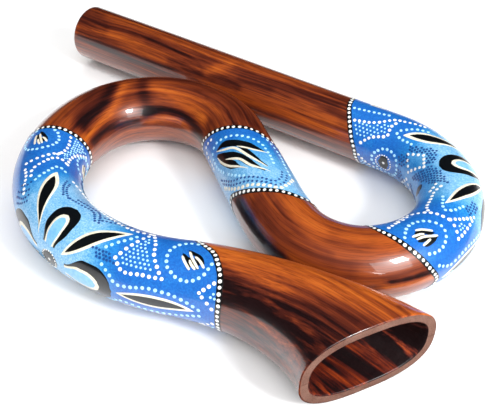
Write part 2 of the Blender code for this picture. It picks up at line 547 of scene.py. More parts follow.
def bore_wood():
    """The inside: darker, with painted shade of the hollow bell over its own redder wood, streakier, and
    oiled more than polished.
    """
    material, tree, shader = new_material("bore_wood", 0.5, 0.25, 0.25)
    # Darker shift and multiply: painted shade inside the hollow bell, with a redder tint of the wood itself.
    colour, pores = wood_colour(tree, -0.16)
    bore_shaded_colour = mix(tree, "MULTIPLY", 1.0, colour, (0.75, 0.50, 0.60, 1.0))
    tree.links.new(bore_shaded_colour, shader.inputs["Base Color"])
    rough = noise(tree, object_place(tree), 160.0, 4.0)
    bump(tree, shader, rough, 0.5, 0.0012)
    return material


def cut_wood():
    """Sanded end of the horn: dull pink brown with pores seen end on."""
    material, tree, shader = new_material("cut_wood", 0.6, 0.0)
    shader.inputs["Specular IOR Level"].default_value = 0.25
    place = object_place(tree)
    broad = noise(tree, place, 70.0, 3.0)
    pores = noise(tree, place, 1500.0, 2.0)
    colour = uneven(tree, broad, (0.146, 0.066, 0.046), (0.232, 0.120, 0.088))
    speckle = ramp(tree, pores, ((0.36, (0.55, 0.48, 0.45)), (0.5, (1.0, 1.0, 1.0))))
    tree.links.new(mix(tree, "MULTIPLY", 0.8, colour, speckle), shader.inputs["Base Color"])
    bump(tree, shader, pores, 0.25, 0.0002)
    return material


def glue():
    """Glue film, tinted like the wood around it and a little darker."""
    material, tree, shader = new_material("glue_line", 0.4, 0.8)
    colour, _ = wood_colour(tree, -0.14)
    tree.links.new(colour, shader.inputs["Base Color"])
    return material


def beeswax():
    """Warm yellow wax that lets a little light in."""
    material, tree, shader = new_material("beeswax", 0.42, 0.1, 0.3)
    place = object_place(tree)
    colour = uneven(tree, noise(tree, place, 120.0, 4.0), (0.36, 0.17, 0.035), (0.60, 0.34, 0.09))
    tree.links.new(colour, shader.inputs["Base Color"])
    shader.inputs["Subsurface Weight"].default_value = 0.25
    shader.inputs["Subsurface Radius"].default_value = (0.004, 0.002, 0.0008)
    bump(tree, shader, noise(tree, place, 260.0, 3.0), 0.35, 0.0008)
    return material


BLUE_SHADES = (
    (0.0, (0.005, 0.120, 0.47)),
    (0.35, (0.012, 0.205, 0.56)),
    (0.75, (0.090, 0.345, 0.65)),
    (1.0, (0.185, 0.445, 0.72)),
)


def blue_paint():
    """Sponged blue: deep at the ends of a band and light round the flowers, with a fine mottle."""
    material, tree, shader = new_material("blue_paint", 0.38, 0.7, 0.06)
    place = object_place(tree)
    lightness = node(tree, "ShaderNodeAttribute", attribute_name="lightness").outputs["Fac"]
    cloud = noise(tree, place, 90.0, 3.0, 0.6)
    value = math_node(tree, "MULTIPLY_ADD", cloud, 0.70, lightness)
    value = math_node(tree, "ADD", value, -0.35, clamp=True)
    colour = ramp(tree, value, BLUE_SHADES)
    grain = noise(tree, place, 800.0, 2.0, 0.7)
    specks = ((0.38, (0.40, 0.70, 0.82)), (0.50, (1.0, 1.0, 1.0)), (0.62, (2.1, 1.4, 1.16)))
    speckle = ramp(tree, grain, specks)
    tree.links.new(mix(tree, "MULTIPLY", 0.7, colour, speckle), shader.inputs["Base Color"])
    bump(tree, shader, grain, 0.18, 0.0002)
    return material


def plain_paint(name, dark, light, roughness=0.36):
    """Brushed paint of one colour, slightly uneven, under the clear varnish."""
    material, tree, shader = new_material(name, roughness, 0.6, 0.08)
    place = object_place(tree)
    colour = uneven(tree, noise(tree, place, 420.0, 3.0), dark, light)
    tree.links.new(colour, shader.inputs["Base Color"])
    bump(tree, shader, noise(tree, place, 700.0, 2.0), 0.15, 0.0002)
    return material


# ---------------------------------------------------------------- wood and wax
# Long dark and bright strokes of the figure: (strength, half width, route of distances and angles).
FIGURE_STROKES = (
    (-0.54, 7.2, ((872, -2), (880, 14), (894, 28), (912, 37), (930, 40))),
    (-0.24, 7.0, ((887, -11), (906, 10), (923, 22))),
    (-0.34, 6.0, ((845, -2), (846, 20), (846, 38), (843, 59))),
    (-0.62, 4.4, ((845, 66), (825, 59), (806, 60), (787, 63), (769, 71), (752, 76))),
    (-0.50, 3.8, ((859, 78), (885, 75), (911, 71), (932, 72))),
    (-0.30, 4.0, ((748, 50), (736, 56))),
    (0.42, 4.6, ((863, 5), (883, 38), (911, 51), (943, 56))),
    (0.25, 6.0, ((836, 16), (816, 30), (792, 39), (766, 46))),
    (0.30, 4.0, ((841, 78), (818, 74), (800, 73), (780, 84))),
    (-0.22, 9.0, ((840, -22), (805, -12), (782, -4), (756, -4), (726, -26))),
    (-0.70, 5.5, ((650, 68), (632, 68), (617, 75), (598, 78))),
    (-0.22, 6.0, ((634, 41), (614, 46), (596, 50), (577, 55), (562, 58))),
    (0.20, 8.0, ((618, -4), (611, -2), (597, 4), (584, 13))),
    (-0.16, 2.5, ((623, 18), (603, 26), (588, 34), (573, 41))),
    (0.16, 7.0, ((566, 4), (552, 9), (538, 20))),
    (-0.75, 1.7, ((543, 77), (531, 77), (518, 76))),
    (0.40, 2.6, ((545, 86), (530, 87), (512, 91))),
    (0.45, 15.0, ((1168, 10), (1216, 0), (1251, 8), (1291, 26))),
    (0.35, 12.0, ((1170, 45), (1216, 40), (1251, 45), (1291, 55))),
    (-0.26, 4.2, ((1180, -28), (1211, -33), (1242, -33), (1292, -32))),
    (0.20, 1.8, ((1196, -38), (1226, -42), (1250, -41), (1290, -39))),
    (-0.36, 3.0, ((1186, -42), (1224, -49), (1250, -49), (1292, -45))),
    (-0.38, 3.2, ((1192, -60), (1218, -59), (1245, -58), (1272, -56), (1293, -52))),
    (0.16, 2.6, ((1196, -70), (1220, -68), (1244, -70), (1276, -66))),
    (-0.12, 1.6, ((1222, -2), (1256, -6), (1285, -5))),
    (-0.70, 1.4, ((1285, 30), (1289, 31))),
    (-0.30, 5.0, ((8, -70), (70, -80), (140, -66), (200, -60))),
    (-0.14, 6.0, ((90, -29), (163, -33))),
    (-0.14, 5.0, ((200, -36), (296, -24))),
    (0.16, 5.0, ((30, -4), (188, -8), (300, 20))),
    (0.18, 5.0, ((45, -42), (90, -52), (115, -55))),
    (0.30, 6.0, ((166, -47), (182, -20))),
    (0.16, 5.0, ((240, -40), (300, -50))),
)
BORE_STROKES = (
    (0.50, 3.0, ((1235, 152), (1265, 153), (1277, 151), (1293, 154))),
    (-0.50, 4.0, ((1235, 170), (1264, 171), (1293, 170))),
    (0.50, 3.2, ((1240, -160), (1265, -165), (1280, -169), (1293, -177))),
    (0.35, 4.5, ((1262, -144), (1276, -144), (1290, -144))),
    (-0.60, 5.0, ((1255, 112), (1270, 124), (1279, 130), (1292, 142))),
    (-0.60, 8.0, ((1262, 98), (1280, 99), (1293, 93))),
    (0.75, 3.2, ((1274, 110), (1281, 113), (1289, 122))),
)
# How light the wood is, and how strong its streaks are, at distances along the horn.
LEG_SHADES = ((0.0, 0.0), (346.0, 0.0), (500.0, 0.10), (600.0, 0.11), (720.0, 0.0),
              (760.0, 0.06), (960.0, 0.06), (1150.0, -0.18), (1300.0, -0.18))
LEG_STREAKS = ((0.0, 0.88), (320.0, 0.88), (500.0, 0.42), (660.0, 0.42),
               (740.0, 0.75), (960.0, 0.6), (1170.0, 0.75), (1300.0, 0.85))
BORE_STREAKS = 1.5


def grain_values(points, distances):
    """Each point's place (m) along, sideways and up in the straightened horn, which the grain follows."""
    x, y, heading, *_ = sections(distances)
    reach = points - OFFSET - np.stack([x, y, np.zeros_like(x)], -1)
    sideways = np.cos(heading) * reach[:, 1] - np.sin(heading) * reach[:, 0]
    return np.stack([distances, sideways, reach[:, 2]], -1) * MM


def figure_values(points, strokes, in_bore=False):
    """How much lighter or darker than average the strokes make the wood at these points, given in mm."""
    values = np.zeros(len(points))
    for strength, half_width, route in strokes:
        line = spline(route, 2.0)
        line_points = oval_points(line[:, 0], line[:, 1], in_bore)
        low, high = line_points.min(0) - 3.0 * half_width, line_points.max(0) + 3.0 * half_width
        near = np.flatnonzero(((points > low) & (points < high)).all(1))
        gaps = np.linalg.norm(points[near, None, :] - line_points[None], axis=2).min(1)
        values[near] += strength * np.exp(-(gaps / half_width) ** 2)
    return values


def wood_layers(points, distances, in_bore):
    """Everything the wood's colour reads from the mesh, at each point."""
    figure = np.interp(distances, *np.array(LEG_SHADES).T)
    figure[~in_bore] += figure_values(points[~in_bore], FIGURE_STROKES)
    figure[in_bore] += figure_values(points[in_bore], BORE_STROKES, True)
    streaks = np.where(in_bore, BORE_STREAKS, np.interp(distances, *np.array(LEG_STREAKS).T))
    return {"figure": figure, "streakiness": streaks, "grain": grain_values(points, distances)}


def rounded_edge(size):
    """Steps along and inwards of a quarter-round edge, from the end face."""
    turns = np.linspace(0.0, math.pi / 2.0, EDGE_STEPS + 1)
    return [(size * (1.0 - math.cos(turn)), size * (1.0 - math.sin(turn))) for turn in turns]


def half_stations():
    """(distance, outer inset, bore inset) of every ring of a half, from the mouth to the rim."""
    mouth = [(along, inwards, 0.0) for along, inwards in rounded_edge(MOUTH_EDGE)]
    rim = [(PATH_LENGTH - along, inwards, inwards) for along, inwards in rounded_edge(RIM_EDGE)][::-1]
    count = int((PATH_LENGTH - MOUTH_EDGE - RIM_EDGE) / STATION_STEP)
    middle = np.linspace(MOUTH_EDGE, PATH_LENGTH - RIM_EDGE, count + 1)[1:-1]
    return mouth + [(distance, 0.0, 0.0) for distance in middle] + rim


def half_ring(distance, outer_inset, bore_inset, side):
    """The outline of one half's section: outside over the top or bottom, and back along the bore."""
    angles = np.linspace(90.0, -90.0, HALF_FACETS + 1)
    angles = angles if side > 0 else 180.0 - angles
    distances = np.full(len(angles), distance)
    outer = oval_points(distances, angles, False, outer_inset)
    bore = oval_points(distances, angles, True, -bore_inset)
    ring = np.vstack([outer, bore[::-1]])
    seam = OFFSET[2] + side * SEAM_GAP / 2.0
    ring[:, 2] = np.maximum(ring[:, 2], seam) if side > 0 else np.minimum(ring[:, 2], seam)
    return ring


def body_half(name, side, materials):
    """One carved half of the horn, as fine as its curves need. Materials: outside, bore, cut ends."""
    stations = half_stations()
    rings = [half_ring(*station, side) for station in stations]
    count = len(rings[0])
    outer_count = HALF_FACETS + 1
    faces = [quad if side > 0 else quad[::-1] for quad in ring_quads(len(rings), count)]
    kinds = [1 if outer_count <= k < count - 1 else 0 for k in range(count)] * (len(rings) - 1)
    last = (len(rings) - 1) * count
    for start in (0, last):
        for k in range(HALF_FACETS):
            cap = (start + k, start + count - 1 - k, start + count - 2 - k, start + k + 1)
            outward = (start == 0) == (side > 0)
            faces.append(cap if outward else cap[::-1])
            kinds.append(2)
    points = np.vstack(rings)
    distances = np.repeat([float(station[0]) for station in stations], count)
    in_bore = np.tile(np.arange(count) >= outer_count, len(rings))
    add_piece(name + "_carved", points, faces, materials, (name,), kinds,
              wood_layers(points, distances, in_bore))


def glue_line(material):
    """Film of glue between the halves, a hair inside the wood's surface all round."""
    stations = np.linspace(GLUE_END_GAP, PATH_LENGTH - GLUE_END_GAP, GLUE_STATIONS)
    points, faces = [], []
    for side_angle in (90.0, -90.0):
        start = len(points)
        angles = np.full(len(stations), side_angle)
        outer = oval_points(stations, angles, False, GLUE_RECESS + 1.0 * (stations < MOUTH_EDGE))
        bore = oval_points(stations, angles, True, -GLUE_RECESS)
        for a, b in zip(outer, bore):
            for point, lift in ((a, 1), (b, 1), (b, -1), (a, -1)):
                points.append(point + np.array([0.0, 0.0, lift * SEAM_GAP / 2.0]))
        faces += ring_quads(len(stations), 4, start)
        faces.append(tuple(start + k for k in range(4)))
        faces.append(tuple(start + 4 * (len(stations) - 1) + k for k in range(4))[::-1])
    points = np.array(points)
    distances = np.tile(np.repeat(stations, 4), 2)
    in_bore = np.tile([False, True, True, False], 2 * len(stations))
    add_piece("glue_line", points, faces, [material],
              layers=wood_layers(points, distances, in_bore))


def wax_ring(material):
    """Hand-pressed ring of beeswax in the mouth end, with softly uneven edges."""
    collar = TUBE_SIZES[0][2] - WAX_GAP
    face = -WAX_GAP
    lip = face - WAX_FLANGE_HEIGHT
    profile = [(WAX_DEPTH, collar), (face, collar), (face, WAX_FLANGE_RADIUS - 0.2)]
    profile += [(face - 0.25, WAX_FLANGE_RADIUS), (face - 0.5 * WAX_FLANGE_HEIGHT, WAX_FLANGE_RADIUS)]
    turns = np.linspace(0.0, math.pi / 2.0, 5)
    shoulder = WAX_FLANGE_RADIUS - WAX_LIP[1]
    profile += [(lip + 1.1 * (1 - math.sin(t)), WAX_LIP[1] + shoulder * math.cos(t)) for t in turns]
    inner = WAX_LIP[0] - WAX_BORE
    profile += [(lip + 1.6 * (1 - math.cos(t)), WAX_LIP[0] - inner * math.sin(t)) for t in turns]
    profile += [(face + 2.5, WAX_BORE), (WAX_DEPTH - 4.0, WAX_BORE), (WAX_DEPTH - 0.7, WAX_BORE + 0.9)]
    points = []
    for i in range(WAX_FACETS):
        turn = 2.0 * math.pi * i / WAX_FACETS
        press = 0.22 * math.sin(3 * turn + 0.7) + 0.13 * math.sin(7 * turn)
        for along, radius in profile:
            swell = press * (radius > collar + 0.5) * (radius - collar) / 4.0
            shaped = radius + swell - max(0.0, press) * 0.2
            points.append(OFFSET + np.array([along, shaped * math.sin(turn), shaped * math.cos(turn)]))
    total = len(points)
    faces = [tuple(i % total for i in quad) for quad in ring_quads(WAX_FACETS + 1, len(profile))]
    add_piece("beeswax_ring", points, faces, [material], ("beeswax_mouthpiece",))


# ---------------------------------------------------------------- painted bands
# Edges of the bands, as (angle, distance) round the tube: hand-painted rings that lean and bow.
RIGHT_START = ((-180, 330), (-95, 326), (-50, 316), (-10, 306), (60, 300), (120, 312), (180, 330))
RIGHT_END = ((-180, 520), (-60, 551), (-20, 547), (15, 534), (50, 524), (100, 512), (180, 520))
MIDDLE_START = ((-180, 628), (-60, 616), (-25, 621), (0, 632), (40, 647), (84, 665), (130, 655), (180, 628))
MIDDLE_END = ((-180, 716), (-90, 697), (-42, 704), (-16, 715), (20, 725), (55, 735), (90, 744),
              (130, 740), (180, 716))
LEFT_START = ((-180, 946), (-90, 950), (-20, 949), (35, 948), (90, 945), (180, 946))
LEFT_END = ((-180, 1186), (-105, 1190), (-65, 1190), (-30, 1186), (0, 1176), (25, 1160), (70, 1152),
            (180, 1186))


def edge_distance(edge, angle):
    """Distance of a band's edge at an angle, from a smooth closed curve through its points."""
    angles = np.array([a for a, _ in edge], float)
    distances = np.array([d for _, d in edge], float)
    round_angles = np.concatenate([angles[:-1] - 360.0, angles, angles[1:] + 360.0])
    round_distances = np.concatenate([distances[:-1], distances, distances[1:]])
    spread = np.arange(-18.0, 18.1, 3.0)
    weights = np.exp(-(spread / 9.0) ** 2)
    wrapped = (np.asarray(angle, float)[..., None] + spread + 180.0) % 360.0 - 180.0
    return (np.interp(wrapped, round_angles, round_distances) * weights).sum(-1) / weights.sum()


def edge_route(edge):
    """A full turn along a band's edge."""
    angles = np.linspace(-180.0, 180.0, 37)
    return list(zip(edge_distance(edge, angles), angles))


def coat(name, start, end, lightness, material):
    """Blue ground of a band: a thin closed skin over the wood between two edges."""
    angles = np.linspace(-180.0, 180.0, COAT_FACETS, endpoint=False)
    first, last = edge_distance(start, angles), edge_distance(end, angles)
    rows = int((last - first).max() / COAT_STEP)
    shares = np.linspace(0.0, 1.0, rows + 1)
    grid = first + (last - first) * shares[:, None]
    turns = np.broadcast_to(angles, grid.shape)
    outer = lifted(grid.ravel(), turns.ravel(), COAT_LIFT)
    inner = lifted(grid.ravel(), turns.ravel(), PAINT_FOOT)
    count = COAT_FACETS
    under = grid.size
    faces = []
    for quad in turned_over(ring_quads(rows + 1, count)):
        faces.append(quad)
        faces.append(tuple(under + v for v in quad[::-1]))
    for row, flipped in ((0, False), (rows, True)):
        for k in range(count):
            m = (k + 1) % count
            low, high = row * count + k, row * count + m
            quad = (low, high, under + high, under + low)
            faces.append(quad[::-1] if flipped else quad)
    light = lightness(grid.ravel(), turns.ravel())
    add_piece(name, np.vstack([outer, inner]), faces, [material],
              layers={"lightness": np.concatenate([light, light])})


# Feathers in the rings: black strokes (half width, route) and cream strokes (route).
LEFT_START_FEATHER = (
    ((1.6, (955, -18), (960, -9), (966, 1)), (1.3, (958, -20), (961, -19), (966, -15), (970, -10)),
     (1.2, (963, -11), (966, -6), (969, -4))),
    (((959, -23), (963, -22), (971, -19)), ((965, -16), (969, -13), (972, -10)),
     ((958, -17), (964, -12), (971, -6)), ((963, -9), (965, -4), (969, 1))),
)
LEFT_END_FEATHER = (
    ((1.4, (1154, -7), (1157, -13), (1160, -19), (1162, -27)), (1.6, (1157, -12), (1162, -18), (1168, -28)),
     (1.5, (1157, 0), (1161, -4), (1166, -8), (1171, -18)), (1.2, (1163, -10), (1166, -16), (1168, -22))),
    (((1154, -11), (1157, -20), (1162, -31)), ((1160, -16), (1162, -22), (1166, -29)),
     ((1158, -2), (1162, -14), (1168, -27)), ((1163, -9), (1167, -14), (1172, -24))),
)
RIGHT_END_FEATHER = (
    ((1.7, (521, 12), (515, 13), (512, 19), (508, 23)), (1.1, (523, 19), (519, 18), (515, 19)),
     (1.6, (522, 26), (518, 26), (514, 26), (507, 30)), (1.4, (519, 36), (514, 34), (508, 30))),
    (((519, 7), (514, 10), (508, 19)), ((524, 16), (518, 16), (515, 18)),
     ((522, 22), (516, 22), (507, 29)), ((520, 34), (516, 31), (513, 29))),
)

# Half width of the border lines and of a leaf's cream edge, and the room between a dot and a band's edge.
BORDER_WIDTH = 2.2
LEAF_EDGE = 2.2
EDGE_ROOM = 3.2
# Radii of the dots, and the gaps between the middles of those in a line, a ring and a patch's outline.
WHITE_DOT = 1.42
SKY_DOT = 1.34
SMALL_DOT = 0.86
NAVY_DOT = 1.06
EYE_DOT = 0.68
PUPIL_DOT = 1.3
LINE_GAP = 4.4
RING_GAP = 4.3
EYE_GAP = 2.3


class Band:
    """The colours of one painted band, each a Paint, and the shapes that the painter repeats."""

    def __init__(self, name, start, end, start_gap=4.2, end_gap=4.2):
        self.name = name
        self.black, self.cream, self.core = Paint(), Paint(), Paint()
        self.white, self.sky, self.navy = Paint(), Paint(), Paint()
        self.border(start, start_gap)
        self.border(end, end_gap)
        for paint in (self.white, self.sky, self.navy, self.cream):
            paint.edges = (start, end)

    def border(self, edge, gap):
        """Black line along an edge, with white dots on it."""
        self.black.ribbon(edge_route(edge), lambda t: BORDER_WIDTH)
        self.white.dots(edge_route(edge), WHITE_DOT, gap, False)

    def leaf(self, route, half, fullest=0.5):
        """Black leaf with a cream edge, along a route from its base to its tip."""
        self.cream.ribbon(route, leaf_width(half, fullest))
        self.black.ribbon(stretch_of(route, 0.07, 0.90), leaf_width(half - LEAF_EDGE, fullest), 1)

    def loop(self, foot, top, half, opening=0.36):
        """Loop petal: black, with a cream line in it and a sky-blue heart. opening is its foot's width."""
        def towards(share):
            return tuple(f + share * (t - f) for f, t in zip(foot, top))

        self.black.ribbon((foot, towards(0.5), top), drop_width(half, opening))
        self.cream.ribbon((foot, towards(0.4), towards(0.76)), drop_width(0.55 * half, opening + 0.17), 1)
        self.core.ribbon((foot, towards(0.35), towards(0.68)), drop_width(0.40 * half, opening + 0.07), 2)

    def eye(self, distance, angle, radius):
        """Flower heart: a black disc edged with white dots, with one dot in the middle."""
        self.black.disc(distance, angle, radius)
        self.white.dots(ring_route(distance, angle, radius), EYE_DOT, EYE_GAP, False)
        self.white.dot(distance, angle, PUPIL_DOT)

    def feather(self, shape, place):
        """Tuft of short cream strokes with black ones between them, drawn where place puts it."""
        blacks, creams = shape
        for half, *route in blacks:
            self.black.ribbon(place(*route), stroke_width(half, 0.3, 0.25))
        for route in creams:
            self.cream.ribbon(place(*route), stroke_width(0.95, 0.5, 0.6), 1)

    def ring(self, distance, angle, radius):
        """Ring of sky-blue dots."""
        self.sky.dots(ring_route(distance, angle, radius), SKY_DOT, RING_GAP, False)

    def white_lines(self, place, *routes):
        """Lines of white dots, drawn where place puts them."""
        for route in routes:
            self.white.dots(place(*route), WHITE_DOT, LINE_GAP)

    def sky_lines(self, place, *lines):
        """Lines of sky-blue dots, each given as (gap, route)."""
        for gap, route in lines:
            self.sky.dots(place(*route), SKY_DOT, gap)

    def dotted_patch(self, corners, filled=True):
        """Closed outline of white dots through its corners, filled with small sky dots."""
        for first, second in zip(corners, [*corners[1:], corners[0]]):
            self.white.dots((first, second), WHITE_DOT, RING_GAP, False)
        if filled:
            self.fill(corners, self.sky, SMALL_DOT, 2.9, 3.2)

    def fill(self, corners, paint, radius, gap, margin):
        """Small dots in staggered rows inside a polygon, a margin in from its sides (mm)."""
        corners = np.array(corners, float)
        _, _, along, around = surface(*corners.mean(0))
        scale = np.array([along[0], around[0]])
        flat = corners * scale
        low, high = flat.min(0), flat.max(0)
        row = 0
        y = low[1]
        while y <= high[1]:
            x = low[0] + (row % 2) * gap / 2.0
            while x <= high[0]:
                if inside_by(flat, (x, y)) > margin:
                    jitter = (HAND.uniform(-0.3, 0.3), HAND.uniform(-0.3, 0.3))
                    paint.dot((x + jitter[0]) / scale[0], (y + jitter[1]) / scale[1], radius)
                x += gap
            y += 0.87 * gap
            row += 1

    def finish(self, paints):
        """Makes one piece of each colour with its material; each colour's slot is passed on but not used."""
        for part, (material, slot) in paints.items():
            getattr(self, part).piece(f"{self.name}_{part}", material, slot)


def inside_by(polygon, point):
    """How far inside a polygon a point lies: its distance to the nearest side, or -1 if outside."""
    x, y = point
    inside = False
    nearest = math.inf
    for (ax, ay), (bx, by) in zip(polygon, np.roll(polygon, -1, axis=0)):
        if (ay > y) != (by > y) and x < (bx - ax) * (y - ay) / (by - ay) + ax:
            inside = not inside
        span = (bx - ax) ** 2 + (by - ay) ** 2
        t = min(1.0, max(0.0, ((x - ax) * (bx - ax) + (y - ay) * (by - ay)) / span)) if span else 0.0
        nearest = min(nearest, math.hypot(x - ax - t * (bx - ax), y - ay - t * (by - ay)))
    return nearest if inside else -1.0


def left_band():
    """Band over the left bend: a flower on its outer side, whose lower half mirrors the upper one."""
    band = Band("left_band", LEFT_START, LEFT_END, 4.8)
    heart = (1064, -93)
    band.eye(*heart, 7.5)
    for place in (as_drawn, flipped(heart[1])):
        band.leaf(place((1052, -63), (1048, -46), (1038, -23), (1026, 0), (1010, 20)), 6.6, 0.64)
        band.loop(*place((1063, -66), (1064, 6)), 12.4, 0.56)
        band.leaf(place((1075, -69), (1080, -55), (1092, -22), (1102, -4), (1114, 12)), 6.0, 0.48)
        band.sky_lines(
            place,
            (4.6, ((1105, -53), (1111, -64), (1118, -76), (1137, -69), (1156, -75), (1174, -88))),
            (4.4, ((1103, -27), (1109, -13), (1113, -5), (1118, 8))),
            (4.2, ((1014, -17), (1009, 3), (1004, 16), (1002, 26), (1007, 34))))
        band.white_lines(
            place,
            ((1112, -37), (1120, -4), (1127, 27)),
            ((1127, 27), (1133, 4), (1136, -20), (1144, -51)),
            ((1144, -51), (1131, -51), (1119, -53), (1112, -37)))
        band.fill(place((1112, -37), (1127, 24), (1136, -20), (1144, -51), (1119, -53)), band.sky,
                  SMALL_DOT, 3.2, 2.8)
        band.white_lines(
            place,
            ((1183, -42), (1173, -61)),
            ((1176, -66), (1185, -80)))
        band.fill(place((1190, -42), (1174, -61), (1190, -80)), band.sky, 1.0, 3.0, 2.2)
        band.white_lines(
            place,
            ((992, -29), (990, -9), (986, 10), (982, 26)),
            ((1000, -14), (996, 0), (991, 14), (989, 28), (993, 38)),
            ((998, -31), (1006, -31), (1013, -38), (1019, -44)),
            ((1008, -22), (1003, -20)),
            ((954, 34), (967, 37), (978, 31), (984, 23)),
            ((994, 41), (984, 45), (971, 56), (957, 78)))
        band.fill(place((950, 38), (968, 41), (984, 30), (990, 38), (970, 52), (954, 76)), band.sky,
                  SMALL_DOT, 2.6, 0.6)
        band.ring(*place((964, -12))[0], 14.5)
        band.feather(LEFT_START_FEATHER, place)
        band.ring(*place((1160, -15))[0], 15.5)
        band.feather(LEFT_END_FEATHER, place)
        band.white_lines(place, ((1020, 44), (1036, 54), (1056, 50), (1075, 40), (1107, 24), (1124, 27)))
        for row in (((1022, 31), (1029, 21), (1041, 10)),
                    ((1027, 33), (1034, 22), (1047, 12)),
                    ((1048, 14), (1060, 20), (1070, 24), (1076, 18), (1082, 6)),
                    ((1052, 24), (1062, 30), (1074, 31), (1081, 20), (1086, 6)),
                    ((1086, 14), (1094, 22), (1104, 28)),
                    ((1084, 24), (1094, 31), (1106, 34))):
            band.navy.dots(place(*row), NAVY_DOT, 2.9)
        band.fill(place((1094, -34), (1100, -50), (1114, -46), (1106, -28)), band.navy, NAVY_DOT, 2.7, 0.4)
        for row in (((1011, -42), (1015, -30), (1013, -18)),
                    ((1012, -54), (1018, -43), (1020, -32)),
                    ((1014, -61), (1022, -49), (1024, -37)),
                    ((1018, -66), (1024, -55), (1027, -44))):
            band.navy.dots(place(*row), NAVY_DOT, 3.0)
    band.loop((1078, heart[1]), (1113, heart[1]), 15.8)
    band.loop((1052, heart[1]), (1017, heart[1]), 15.5)
    band.leaf(((1116, -92), (1143, -91), (1170, -92)), 6.0)
    for distance, angle in ((976, 90), (1078, 92), (1128, 96)):
        band.ring(distance, angle, 13.5)
        band.feather(LEFT_START_FEATHER, moved(distance - 965, angle + 11))
    return band


# Feather strokes of the middle band: half width, how full each one starts and ends, and its route.
MIDDLE_BLACK_STROKES = (
    (3.6, 0.15, 0.05, ((712, 60), (711, 44), (705, 28), (698, 14), (690, 0), (683, -12))),
    (1.9, 0.2, 0.1, ((699, 24), (691, 16), (681, 10), (671, 4), (664, -4))),
    (3.2, 0.4, 0.1, ((708, 64), (700, 52), (693, 38), (684, 27), (672, 18), (659, 4))),
    (3.9, 0.2, 0.1, ((705, 62), (694, 55), (684, 46), (675, 35))),
)
MIDDLE_CREAM_STROKES = (
    (1.15, 0.3, 0.1, ((712, 61), (706, 48), (700, 32), (693, 24), (680, 14), (663, -3))),
    (0.8, 0.3, 0.1, ((699, 25), (693, 14), (686, 0), (681, -17))),
    (1.1, 0.3, 0.1, ((695, 52), (690, 42), (683, 30), (670, 19), (657, -3))),
    (1.0, 0.3, 0.1, ((706, 65), (697, 62), (686, 52), (677, 38), (669, 26))),
)
MIDDLE_OF_BAND = 675


def middle_band():
    """Band on the diagonal: two swooping feather strokes on top, and the same turned underneath."""
    band = Band("middle_band", MIDDLE_START, MIDDLE_END, 4.7, 5.1)
    for place in (as_drawn, end_for_end(MIDDLE_OF_BAND)):
        for half, start, end, route in MIDDLE_BLACK_STROKES:
            band.black.ribbon(place(*route), stroke_width(half, start, end))
        for half, start, end, route in MIDDLE_CREAM_STROKES:
            band.cream.ribbon(place(*route), stroke_width(half, start, end), 1)
        band.sky_lines(
            place,
            (5.0, ((688, 69), (700, 77), (712, 77), (718, 66), (719, 51), (714, 24), (705, 2),
                   (695, -14), (682, -18), (668, -16))),
            (4.6, ((665, 38), (673, 52), (680, 61))),
            (4.8, ((706, -26), (697, -38), (684, -43), (668, -39), (655, -36))))
        band.white.dots(place((729, 60), (731, 72), (731, 84), (722, 88), (708, 90)), SKY_DOT, 5.0)
        for row in (((688, 84), (672, 62), (662, 36), (652, 14), (645, 0), (648, -14), (656, -22)),
                    ((683, 84), (667, 62), (657, 36), (647, 14), (640, -1), (643, -17), (652, -28))):
            band.navy.dots(place(*row), NAVY_DOT, 3.9)
        band.cream.dots(place((678, 86), (661, 60), (652, 36), (643, 14), (636, -2), (640, -20), (648, -36)),
                        1.6, 4.9)
    return band


